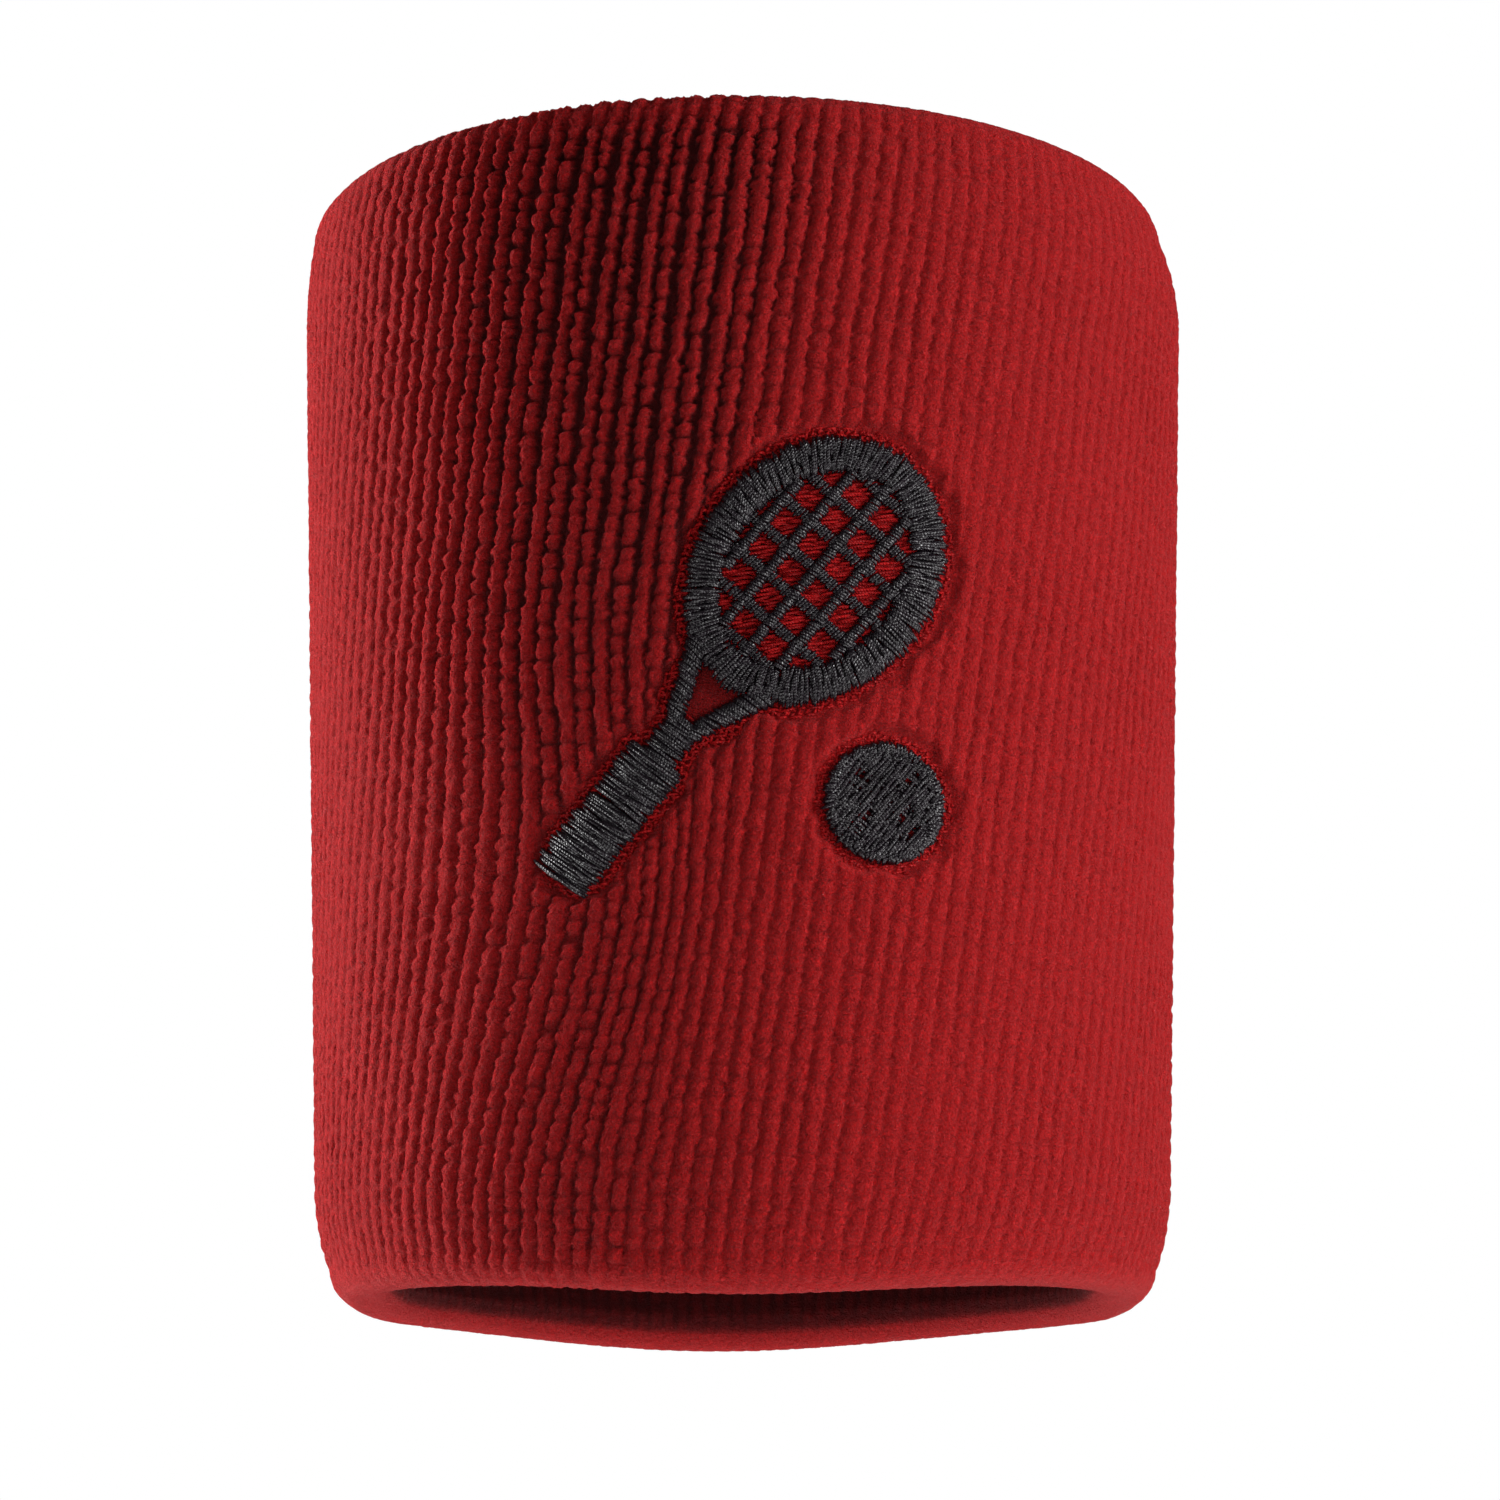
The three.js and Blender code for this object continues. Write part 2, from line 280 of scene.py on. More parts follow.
def meridian():
    """The pile side of the cloth as it lies over the wall, from the seam down the inside,
    round the lower rim, up the outside, round the upper rim and down to the seam again.
    Gives each row's depth behind the outer face and its height."""
    rows = []

    def straight(depth, start, end, step):
        count = max(2, round(abs(end - start) / step))
        for z in np.linspace(start, end, count, endpoint=False):
            rows.append((depth, z))

    def fold(z, start_angle):
        count = round(math.pi * WALL / 2 / FOLD_ROW)
        end_angle = start_angle + math.pi
        for angle in np.linspace(start_angle, end_angle, count, endpoint=False):
            depth = WALL / 2 - WALL / 2 * math.cos(angle)
            rows.append((depth, z + FOLD * math.sin(angle)))

    straight(WALL, MIDDLE - SEAM_GAP, FOLD, INNER_ROW)
    fold(FOLD, math.pi)
    straight(0.0, FOLD, HEIGHT - FOLD, OUTER_ROW)
    fold(HEIGHT - FOLD, 0.0)
    straight(WALL, HEIGHT - FOLD, MIDDLE + SEAM_GAP, INNER_ROW)
    rows.append((WALL, MIDDLE + SEAM_GAP))
    return np.array(rows)


def outward(rows):
    """Unit directions away from the cloth, in (radius, height), from the rows' own run."""
    radius = -rows[:, 0]
    run = np.stack([np.gradient(radius), np.gradient(rows[:, 1])], 1)
    run /= np.linalg.norm(run, axis=1)[:, None]
    return np.stack([run[:, 1], -run[:, 0]], 1)


def rib_lean(z, phi):
    """How far round the band a rib has wandered at a height, as an angle."""
    local = bell(phi - PULL_PLACE, PULL_WIDTH)
    reach = np.clip(np.abs(z - PULL_HEIGHT) / PULL_REACH, 0, 1)
    pulled = PULL / LOWER_RADIUS * local * np.cos(reach * math.pi / 2) ** 2
    return TWIST * (z / HEIGHT - 0.5) + pulled


def lumps(x, course, key, seed, middle, half, length, gap):
    """A column of overlapping tufts, one a course, each a little out of place. x and
    middle go across a pair of ribs from 0 to 1, and gap is how low the pile falls
    between two tufts. The table's numbers vary each tuft's place, size and height."""
    table = np.random.default_rng(seed).uniform(-1, 1, (PAIRS, TUFT_ROWS, 4))
    top = np.zeros_like(x)
    base = np.floor(course).astype(int)
    for step in (-1, 0, 1, 2):
        j = base + step
        place, side, size, tall = np.moveaxis(table[key, j % TUFT_ROWS], -1, 0)
        along = np.abs(course - j - 0.5 - 0.16 * place) / (length * (1 + 0.16 * size))
        across = np.abs(x - middle - 0.022 * side) / (half * (1 + 0.07 * size))
        top = np.maximum(top, rounded(1 - along**2.3 - across**2.6) * (0.93 + 0.08 * tall))
    across = np.abs(x - middle) / half
    return np.maximum(top, gap * rounded(1 - across**2.6))


def rounded(x):
    """A round top, from 0 where x is 0 or less to 1 where x is 1."""
    return np.clip(x, 0, 1) ** 0.52


def pile_height(rib, course, opened):
    """The pile over the ground, from 0 in a furrow to 1. Ribs go in pairs, one smooth and
    cord-like and one of separate tufts, with a wider furrow between the pairs."""
    ragged = 0.036 * noise(rib * 1.5, course * 2.1, RIBS * 3 // 2, 12)
    ragged += 0.060 * noise(rib * 4, course * 5.3, RIBS * 4, 13)
    wander = 0.045 * noise(rib / 2, course / 5, PAIRS, 11)
    pair = np.floor(rib / 2)
    x = rib / 2 - pair + wander + ragged
    key = pair.astype(int) % PAIRS
    thin = CLOSED_GAP + THIN_FURROW * opened
    wide = CLOSED_GAP + WIDE_FURROW * opened**1.3
    half = (0.5 - thin - wide) / 2
    slanted = course + CORD_SLANT * x
    cord = lumps(x, slanted, key, 15, 0.5 - thin - half, half, CORD_LENGTH, CORD_GAP)
    tuft = lumps(x, course, key, 16, 0.5 + thin + half, half, TUFT_LENGTH, TUFT_GAP)
    fuzz_between = SHUT_FUZZ * np.clip(1 - 2.2 * opened, 0, 1)
    return np.maximum(np.maximum(cord, tuft), fuzz_between)


def furrow_opening(rib, course, z, straight_phi, inside):
    """How far the pairs of ribs stand apart, from 0.03 when closed to about 1."""
    tall = smooth((z - SPREAD_FROM) / SPREAD_RISE)
    spread = hill(straight_phi, SPREAD_PLACE, SPREAD_WIDTH)
    uneven = 0.09 * noise(rib / 6, course / 9, RIBS // 6, 17)
    opened = 0.04 + (0.40 + 0.60 * tall) * (0.05 + 0.90 * spread) + uneven
    return np.clip(opened * (1 - 0.6 * inside), 0.03, 1.15)


def full_pile(rib, course, z, opened, inside, to_seam):
    """The pile all over the cloth: even over the folds, gone at the seam, and fuzzy."""
    rise = pile_height(*np.broadcast_arrays(rib, course), opened)
    to_rim = np.minimum(z, HEIGHT - z)
    calm = 1 - 0.8 * bell(to_rim, FOLD_CALM_REACH) - 0.2 * inside
    rise = 1 - (1 - rise) * np.clip(calm, 0, 1)
    rise = rise * smooth(to_seam / SEAM_REACH)
    rise += 0.06 * noise(rib * 2.5, course * 2.9, RIBS * 5 // 2, 21)
    rise += (0.03 + 0.09 * opened) * np.random.default_rng(22).uniform(-1, 1, rise.shape)
    return rise


def outside_emblem(phi, phi_front, z, depth):
    """How far each point of the outer layer is outside the emblem. 1 m elsewhere."""
    flat = np.stack([outer_radius(z, phi) * np.sin(phi), z + 0 * phi], -1)
    away = np.where(np.abs(phi_front) < EMBLEM_REACH, emblem_distance(flat), 1.0)
    return np.where(depth > WALL / 4, 1.0, away)


def build_cloth():
    """One closed grid: the pile side all the way round, then the cloth's back. Its
    attribute "pile" is painted shade: from 0, darkest, in a deep furrow to 1 on a rib's
    top, and low all over the band's inner face."""
    rows = meridian()
    normals = outward(rows)
    columns = RIBS * COLUMNS_A_RIB
    rib = np.arange(columns)[None, :] / COLUMNS_A_RIB
    depth, z = rows[:, 0][:, None], rows[:, 1][:, None]
    run = np.r_[0, np.cumsum(np.linalg.norm(np.diff(rows, axis=0), axis=1))]
    course = (run / COURSE)[:, None]

    straight_phi = wrapped(2 * math.pi * rib / RIBS + TWIST * (z / HEIGHT - 0.5))
    inside = smooth((depth - WALL / 2) / (WALL / 2))
    lean_height = np.where(z < MIDDLE, z * (1 - inside), z + (HEIGHT - z) * inside)
    phi = 2 * math.pi * rib / RIBS + rib_lean(lean_height, straight_phi)
    phi_front = wrapped(phi)

    opened = furrow_opening(rib, course, z, straight_phi, inside)
    to_seam = np.minimum(run, run[-1] - run)[:, None]
    rise = full_pile(rib, course, z, opened, inside, to_seam)

    away = outside_emblem(phi, phi_front, z, depth)
    uneven = PRESSED_WAVE * noise(rib * 1.5, course * 1.4, RIBS * 3 // 2, 23)
    pressed = 1 - smooth((away + uneven - 0.45 * BORDER) / PRESSED_EDGE)
    rise = rise * (1 - pressed) + PRESSED_PILE * pressed
    dent = PRESSED_DENT * pressed - PUSHED_UP * bell(away - PUSHED_PLACE, PUSHED_WIDTH)

    out = (SHUT_DEPTH + (OPEN_DEPTH - SHUT_DEPTH) * opened) * (rise - 1) - dent
    lift = lip_height(phi_front) * np.clip(1 - z / LIP_REACH, 0, 1) ** 2
    wall_radius = outer_radius(z, phi_front) - depth
    wall_height = z + lift
    normal_out, normal_up = normals[:, 0][:, None], normals[:, 1][:, None]

    spaced = np.searchsorted(run, np.arange(0, run[-1], BACK_ROW))
    back = np.unique(np.r_[spaced, len(rows) - 1])[::-1]
    back_radius = wall_radius[back] - normal_out[back] * CLOTH
    back_height = wall_height[back] - normal_up[back] * CLOTH

    all_phi = np.concatenate([phi, phi[back]])
    radius = np.concatenate([wall_radius + normal_out * out, back_radius])
    height = np.concatenate([wall_height + normal_up * out, back_height])
    # Painted shade over the band's inner face, where little light reaches.
    painted_inside_shade = 0.75 * smooth(5 * inside - 4)
    # Painted shade: the pile darkens where it sinks into a furrow, more where the furrows stand
    # open, and where the emblem presses it flat.
    shade = 1 - (1 - rise) * np.clip(0.35 + 0.9 * opened, 0, 1) - painted_inside_shade
    # The cloth's back gets 0, the darkest painted shade.
    pile = np.concatenate([np.clip(shade, 0, 1), np.zeros_like(back_radius)])
    position = np.stack([radius * np.sin(all_phi), -radius * np.cos(all_phi), height], -1)
    return grid_mesh("terry_cloth", position, pile)


def grid_mesh(name, position, pile):
    """A mesh of quads on a grid that closes on itself both ways, with a UV map."""
    rows, columns = position.shape[:2]
    index = np.arange(rows * columns).reshape(rows, columns)
    down, right = np.roll(index, -1, 0), np.roll(index, -1, 1)
    corner = np.roll(down, -1, 1)
    quads = np.stack([index, right, corner, down], -1).reshape(-1, 4)
    mesh = mesh_from(name, position.reshape(-1, 3), quads)
    u = np.arange(columns) / columns
    v = np.arange(rows) / rows
    low_u, low_v = np.meshgrid(u, v)
    high_u, high_v = low_u + 1 / columns, low_v + 1 / rows
    corners = [(low_u, low_v), (high_u, low_v), (high_u, high_v), (low_u, high_v)]
    uv = np.stack([np.stack(pair, -1) for pair in corners], 2)
    add_uv(mesh, "OFBake", uv)
    add_field(mesh, "pile", pile)
    return add_object(name, mesh)


def add_uv(mesh, name, uv):
    layer = mesh.uv_layers.new(name=name)
    layer.data.foreach_set("uv", uv.reshape(-1).astype(np.float32))


def add_field(mesh, name, values):
    """A number at each point of a mesh, for its material to read."""
    layer = mesh.attributes.new(name, "FLOAT", "POINT")
    layer.data.foreach_set("value", values.reshape(-1).astype(np.float32))


def mesh_from(name, points, quads):
    """A smooth mesh from points and rows of four point numbers."""
    mesh = bpy.data.meshes.new(name)
    mesh.vertices.add(len(points))
    mesh.vertices.foreach_set("co", np.asarray(points, np.float32).reshape(-1))
    mesh.loops.add(quads.size)
    mesh.loops.foreach_set("vertex_index", quads.reshape(-1).astype(np.int32))
    mesh.polygons.add(len(quads))
    mesh.polygons.foreach_set("loop_start", np.arange(0, quads.size, 4, dtype=np.int32))
    mesh.polygons.foreach_set("use_smooth", np.ones(len(quads), bool))
    mesh.update(calc_edges=True)
    mesh.validate()
    return mesh


def add_object(name, mesh):
    piece = bpy.data.objects.new(name, mesh)
    bpy.context.scene.collection.objects.link(piece)
    return piece


# ---- materials -----------------------------------------------------------------------

PILE_DARK = (0.29, 0.0045, 0.006, 1)
PILE_LIGHT = (0.50, 0.010, 0.012, 1)
PILE_PATCH = (0.34, 0.006, 0.008, 1)
# Painted shade: the near-black colour that the furrows and the band's inner face blend towards.
PAINTED_FURROW_SHADE = (0.085, 0.002, 0.003, 1)
PINK_SHEEN = (1.0, 0.33, 0.31, 1)
FIBRE_BUMP = 0.00018


class Nodes:
    """A small helper to write a material's node tree line by line."""

    def __init__(self, name):
        self.material = bpy.data.materials.new(name)
        self.material.use_nodes = True
        self.tree = self.material.node_tree
        self.shader = self.tree.nodes["Principled BSDF"]

    def add(self, kind, inputs=None, **settings):
        node = self.tree.nodes.new(kind)
        for key, value in settings.items():
            setattr(node, key, value)
        for key, value in (inputs or {}).items():
            if isinstance(value, bpy.types.NodeSocket):
                self.tree.links.new(value, node.inputs[key])
            else:
                node.inputs[key].default_value = value
        return node

    def shade(self, **values):
        for key, value in values.items():
            socket = self.shader.inputs[key.replace("_", " ").title().replace("Ior", "IOR")]
            if isinstance(value, bpy.types.NodeSocket):
                self.tree.links.new(value, socket)
            else:
                socket.default_value = value

    def math(self, operation, a, b):
        return self.add("ShaderNodeMath", {0: a, 1: b}, operation=operation).outputs[0]

    def mix(self, factor, a, b):
        node = self.add("ShaderNodeMix", {"Factor": factor}, data_type="RGBA")
        for socket, value in ((node.inputs[6], a), (node.inputs[7], b)):
            if isinstance(value, bpy.types.NodeSocket):
                self.tree.links.new(value, socket)
            else:
                socket.default_value = value
        return node.outputs[2]

    def place(self):
        return self.add("ShaderNodeTexCoord").outputs["Object"]

    def cloud(self, scale, detail, roughness):
        inputs = {"Vector": self.place(), "Scale": scale, "Detail": detail, "Roughness": roughness}
        return self.add("ShaderNodeTexNoise", inputs).outputs["Fac"]

    def fibres(self, scale):
        """Fine swirling streaks, like the cut ends of a pile's fibres, from 0 to 1."""
        inputs = {"Vector": self.place(), "Scale": scale, "Detail": 2.5, "Roughness": 0.62}
        inputs["Distortion"] = 1.6
        streaks = self.add("ShaderNodeTexNoise", inputs).outputs["Fac"]
        spread = {"Value": streaks, "From Min": 0.33, "From Max": 0.67}
        return self.add("ShaderNodeMapRange", spread).outputs[0]

    def bump(self, height, distance, strength, under=None):
        inputs = {"Height": height, "Distance": distance, "Strength": strength}
        if under is not None:
            inputs["Normal"] = under
        return self.add("ShaderNodeBump", inputs).outputs["Normal"]


def terry_material():
    """Soft red pile, with painted shade in the furrows and on the band's inner face."""
    n = Nodes("red_terry")
    pile = n.add("ShaderNodeAttribute", attribute_name="pile").outputs["Fac"]
    grain = n.fibres(4300)
    patch = n.cloud(420, 3, 0.55)
    colour = n.mix(grain, PILE_DARK, PILE_LIGHT)
    colour = n.mix(n.math("MULTIPLY", patch, 0.3), colour, PILE_PATCH)
    # Painted shade: low pile values blend the colour towards the furrow shade.
    reach = {"Value": pile, "From Min": 0.05, "From Max": 0.6}
    above = n.add("ShaderNodeMapRange", reach, interpolation_type="SMOOTHSTEP").outputs[0]
    colour = n.mix(above, PAINTED_FURROW_SHADE, colour)
    fibre = n.bump(grain, FIBRE_BUMP, 1.0)
    fuzz = n.bump(n.fibres(2300), FIBRE_BUMP, 0.9, fibre)
    n.shade(base_color=colour, roughness=0.95, normal=fuzz, specular_ior_level=0.1)
    n.shade(sheen_weight=0.12, sheen_roughness=0.5, sheen_tint=PINK_SHEEN)
    n.shade(subsurface_weight=0.7, subsurface_radius=(1.0, 0.12, 0.12), subsurface_scale=0.00045)
    return n.material


def thread_material(name, dark, light, rough, sheen, gloss):
    """Embroidery thread: two plies twisted together, seen as slanting lines, with specks
    of gloss where single fibres catch the light."""
    n = Nodes(name)
    uv = n.add("ShaderNodeUVMap", uv_map="thread").outputs["UV"]
    parts = n.add("ShaderNodeSeparateXYZ", {"Vector": uv})
    turns = n.math("ADD", n.math("MULTIPLY", parts.outputs["X"], 2.6), parts.outputs["Y"])
    plies = 2
    ply = n.math("SINE", n.math("MULTIPLY", turns, 2 * math.pi * plies), 0.0)
    grain = n.cloud(5200, 2, 0.6)
    tone = n.add("ShaderNodeAttribute", attribute_name="tone").outputs["Fac"]
    colour = n.mix(n.math("MULTIPLY", grain, tone), dark, light)
    bump = n.bump(ply, 0.00003, 0.6, n.bump(grain, 0.00004, 0.8))
    sparkle = n.math("MULTIPLY", n.math("POWER", n.cloud(7000, 2, 0.7), 4.0), gloss)
    n.shade(base_color=colour, roughness=rough, normal=bump, specular_ior_level=sparkle,
            sheen_weight=sheen, sheen_roughness=0.4)
    return n.material


def plain_cloth_material(name, dark, light, rough):
    """Dull cloth or yarn, for the pieces between the layers."""
    n = Nodes(name)
    grain = n.cloud(2400, 4, 0.7)
    n.shade(base_color=n.mix(grain, dark, light), roughness=rough,
            normal=n.bump(grain, 0.0001, 0.7), sheen_weight=0.2)
    return n.material


TERRY = terry_material()
CHARCOAL = thread_material(
    "charcoal_thread", (0.002, 0.0012, 0.002, 1), (0.012, 0.007, 0.011, 1), 0.32, 0.0, 4.3
)
RED_THREAD = thread_material(
    "red_thread", (0.14, 0.002, 0.003, 1), (0.42, 0.008, 0.009, 1), 0.5, 0.0, 1.0
)
SEAM_THREAD = thread_material(
    "seam_thread", (0.16, 0.005, 0.006, 1), (0.42, 0.02, 0.022, 1), 0.5, 0.1, 2.0
)
BACKING = plain_cloth_material("backing", (0.55, 0.54, 0.5, 1), (0.8, 0.79, 0.75, 1), 0.9)
ELASTIC = plain_cloth_material("elastic", (0.45, 0.43, 0.4, 1), (0.7, 0.68, 0.64, 1), 0.6)


def finish_piece(piece, material, slot, *nodes):
    piece.data.materials.clear()
    piece.data.materials.append(material)
    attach(piece, BODY)
    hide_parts(*nodes)
    return piece


# ---- stitches ------------------------------------------------------------------------

THREAD = 0.24 * MM
PITCH = 0.17 * MM
LOOSE = 0.08 * MM
LEVEL_SPREAD = 0.02 * MM

# Each stitch is a six-sided tube: the end faces in Stitches.build are drawn for six.
SIDES = 6
STEPS = 8


class Stitches:
    """Collects straight stitches, then lays each one over the band as an arched thread."""

    def __init__(self, seed):
        self.random = np.random.default_rng(seed)
        self.starts, self.ends, self.levels = [], [], []

    def sew(self, start, end, level, loose=LOOSE):
        """One stitch, its ends and its level a little out of place."""
        start = np.asarray(start) + self.random.normal(0, loose, 2)
        end = np.asarray(end) + self.random.normal(0, loose, 2)
        self.starts.append(start)
        self.ends.append(end)
        self.levels.append(level + self.random.normal(0, LEVEL_SPREAD))

    def column(self, left, right, spacing, level, loose=LOOSE):
        """Satin stitches across a column, between two edges given as (n, 2) points."""
        middle = (left + right) / 2
        run = np.r_[0, np.cumsum(np.linalg.norm(np.diff(middle, axis=0), axis=1))]
        count = max(2, round(run[-1] / spacing))
        at = np.linspace(0, run[-1], count)
        for place in at:
            ahead = min(place + spacing / 2, run[-1])
            a = np.array([np.interp(place, run, left[:, k]) for k in (0, 1)])
            b = np.array([np.interp(ahead, run, right[:, k]) for k in (0, 1)])
            self.sew(a, b, level, loose)

    def fill(self, inside, low, high, spacing, length, level, turn):
        """Rows of stitches over the part of a box where inside(points) is true."""
        middle, half = (low + high) / 2, np.linalg.norm(high - low) / 2
        run = np.array([math.cos(turn), math.sin(turn)])
        step = np.array([-run[1], run[0]])
        for i, across in enumerate(np.arange(-half, half, spacing)):
            at = -half + length * ((i * 0.37) % 1.0)
            while at < half:
                size = length * self.random.uniform(0.75, 1.2)
                reach = np.multiply.outer(np.linspace(at, at + size, 7), run)
                spots = middle + step * across + reach
                kept = spots[inside(spots)]
                if len(kept) > 1:
                    self.sew(kept[0], kept[-1], level, 0.05 * MM)
                at += size

    def build(self, name, width, thickness, place_at, bury=0.30 * MM):
        """The stitches as arched threads. place_at(flat, lift) gives a place in the frame,
        and bury is how far a stitch's ends go down into the cloth."""
        start, end = np.array(self.starts), np.array(self.ends)
        level = np.array(self.levels)
        t = np.linspace(0, 1, STEPS)
        flat = start[:, None] * (1 - t)[:, None] + end[:, None] * t[:, None]
        arch = 1 - np.abs(2 * t - 1) ** 3.5
        lift = level[:, None] + bury * (arch - 1)
        path = place_at(flat, lift)
        tangent = np.gradient(path, axis=1)
        tangent /= np.linalg.norm(tangent, axis=-1, keepdims=True)
        up = place_at(flat, lift + MM) - path
        side = np.cross(tangent, up)
        side /= np.linalg.norm(side, axis=-1, keepdims=True)
        up = np.cross(side, tangent)
        angle = 2 * math.pi * np.arange(SIDES) / SIDES
        taper = (0.55 + 0.45 * arch)[None, :, None, None]
        ring = (
            path[:, :, None]
            + taper * width / 2 * side[:, :, None] * np.cos(angle)[:, None]
            + taper * thickness / 2 * up[:, :, None] * np.sin(angle)[:, None]
        )
        count = len(start)
        index = np.arange(count * STEPS * SIDES).reshape(count, STEPS, SIDES)
        a, b = index[:, :-1], index[:, 1:]
        walls = np.stack([a, np.roll(a, -1, 2), np.roll(b, -1, 2), b], -1).reshape(-1, 4)
        ends = [index[:, 0, [3, 2, 1, 0]], index[:, 0, [5, 4, 3, 0]]]
        ends += [index[:, -1, [0, 1, 2, 3]], index[:, -1, [0, 3, 4, 5]]]
        quads = np.concatenate([walls, *ends])
        mesh = mesh_from(name, ring.reshape(-1, 3), quads)
        length = np.linalg.norm(end - start, axis=1)[:, None] * t[None, :] / MM
        around = np.arange(SIDES) / SIDES
        u = np.broadcast_to(length[:, :, None], index.shape).reshape(-1)
        v = np.broadcast_to(around, index.shape).reshape(-1)
        loops = quads.reshape(-1)
        add_uv(mesh, "thread", np.stack([u[loops], v[loops]], -1))
        tone = self.random.uniform(0.5, 1.5, count)
        add_field(mesh, "tone", np.repeat(tone, STEPS * SIDES))
        return add_object(name, mesh)


def on_front(flat, lift):
    """Places (x, z) points on the front of the band, at a height over its outer face."""
    x, z = flat[..., 0], flat[..., 1]
    radius = outer_radius(z) + lift
    y = -np.sqrt(np.maximum(outer_radius(z) ** 2 - x**2, 0))
    length = np.hypot(x, y)
    return np.stack([x / length * radius, y / length * radius, z], -1)


def ellipse_points(half_length, half_width, count):
    """Points round an ellipse about the middle of the racket's head."""
    turn = np.linspace(0, 2 * math.pi, count)
    return on_racket(half_length * np.cos(turn), half_width * np.sin(turn))


def racket_line(s0, t0, s1, t1):
    """Points along a straight line, given along (s) and across (t) the racket."""
    count = 24
    return on_racket(np.linspace(s0, s1, count), np.linspace(t0, t1, count))


def frame_stitches():
    """Satin stitches round the racket's head: a padding, two half columns over it, and
    full-width stitches over both."""
    work = Stitches(31)
    inner = ellipse_points(HEAD_HALF_LENGTH - FRAME_WIDTH, HEAD_HALF_WIDTH - FRAME_WIDTH, 200)
    outer = ellipse_points(HEAD_HALF_LENGTH, HEAD_HALF_WIDTH, 200)
    work.column(inner * 0.8 + outer * 0.2, inner * 0.2 + outer * 0.8, PITCH * 1.6, -0.16 * MM)
    work.column(inner, inner * 0.45 + outer * 0.55, PITCH * 1.1, -0.02 * MM, 0.12 * MM)
    work.column(inner * 0.55 + outer * 0.45, outer, PITCH * 1.1, 0.0, 0.12 * MM)
    work.column(inner, outer, PITCH * 1.5, 0.05 * MM, 0.12 * MM)
    return work.build("emblem_frame_stitches", THREAD, THREAD * 0.75, on_front)


def string_stitches():
    """Narrow columns along and across the racket's head."""
    work = Stitches(32)
    half_length = HEAD_HALF_LENGTH - FRAME_WIDTH
    half_width = HEAD_HALF_WIDTH - FRAME_WIDTH
    half = STRING_WIDTH / 2
    across = int(half_width / STRING_PITCH)
    along = int(half_length / STRING_PITCH)
    for i in range(-along, along + 1):
        s = i * STRING_PITCH
        reach = half_width * math.sqrt(1 - (s / half_length) ** 2)
        left = racket_line(s - half, -reach, s - half, reach)
        right = racket_line(s + half, -reach, s + half, reach)
        work.column(left, right, PITCH * 1.15, -0.12 * MM, 0.04 * MM)
    for i in range(-across, across + 1):
        t = i * STRING_PITCH
        reach = half_length * math.sqrt(1 - (t / half_width) ** 2)
        left = racket_line(-reach, t - half, reach, t - half)
        right = racket_line(-reach, t + half, reach, t + half)
        work.column(left, right, PITCH * 1.15, -0.04 * MM, 0.04 * MM)
    return work.build("emblem_string_stitches", THREAD * 0.9, THREAD * 0.7, on_front)


def throat_stitches():
    """The throat's two prongs and the shaft, each in two layers."""
    work = Stitches(33)
    half = SHAFT_WIDTH / 2
    spread = THROAT_SPREAD / 2
    top = THROAT_TOP - 0.1 * MM
    for side in (-1, 1):
        outer = racket_line(THROAT_FOOT, side * half, top, side * spread)
        inner = racket_line(THROAT_FOOT, 0.0, top, side * (spread - PRONG_WIDTH))
        for level in (-0.1 * MM, 0.02 * MM):
            work.column(inner, outer, PITCH * 1.2, level)
    shaft_top = THROAT_FOOT + 0.6 * MM
    left = racket_line(GRIP_TOP, -half, shaft_top, -half)
    right = racket_line(GRIP_TOP, half, shaft_top, half)
    for level in (-0.1 * MM, 0.03 * MM):
        work.column(left, right, PITCH * 1.2, level)
    return work.build("emblem_throat_stitches", THREAD, THREAD * 0.75, on_front)


def grip_stitches():
    """The grip: a padding, two columns that overlap in the middle, and sparse
    full-width stitches over them."""
    work = Stitches(34)
    half = GRIP_WIDTH / 2
    low, high = -BUTT_FROM_HEAD, GRIP_TOP
    left = racket_line(low, -half, high, -half)
    right = racket_line(low, half, high, half)
    centre = (left + right) / 2
    work.column(left, right, PITCH * 1.5, -0.12 * MM)
    work.column(left, centre * 0.8 + right * 0.2, PITCH * 1.2, 0.0, 0.14 * MM)
    work.column(centre * 0.8 + left * 0.2, right, PITCH * 1.2, 0.01 * MM, 0.14 * MM)
    work.column(left, right, PITCH * 3.0, 0.06 * MM, 0.12 * MM)
    return work.build("emblem_grip_stitches", THREAD, THREAD * 0.75, on_front)


def ball_stitches():
    """The ball: two crossing fills that leave its seam open, and a column round its edge."""
    work = Stitches(35)

    def in_ball(points):
        offset = points - BALL
        inside = np.linalg.norm(offset, axis=-1) < BALL_RADIUS
        for side in (-1, 1):
            curve = np.linalg.norm(offset - [side * BALL_SEAM_OFFSET, 0], axis=-1)
            inside &= np.abs(curve - BALL_SEAM_RADIUS) > BALL_SEAM_HALF_WIDTH
        return inside

    low, high = BALL - BALL_RADIUS, BALL + BALL_RADIUS
    work.fill(in_ball, low, high, PITCH * 1.3, 2.0 * MM, -0.10 * MM, math.radians(140))
    work.fill(in_ball, low, high, PITCH * 0.95, 2.8 * MM, 0.02 * MM, math.radians(50))
    turn = np.linspace(0, 2 * math.pi, 120)[:, None]
    around = np.hstack([np.cos(turn), np.sin(turn)])
    inner = BALL + around * (BALL_RADIUS - 0.8 * MM)
    work.column(inner, BALL + around * BALL_RADIUS, PITCH * 1.2, 0.03 * MM)
    return work.build("emblem_ball_stitches", THREAD, THREAD * 0.75, on_front)


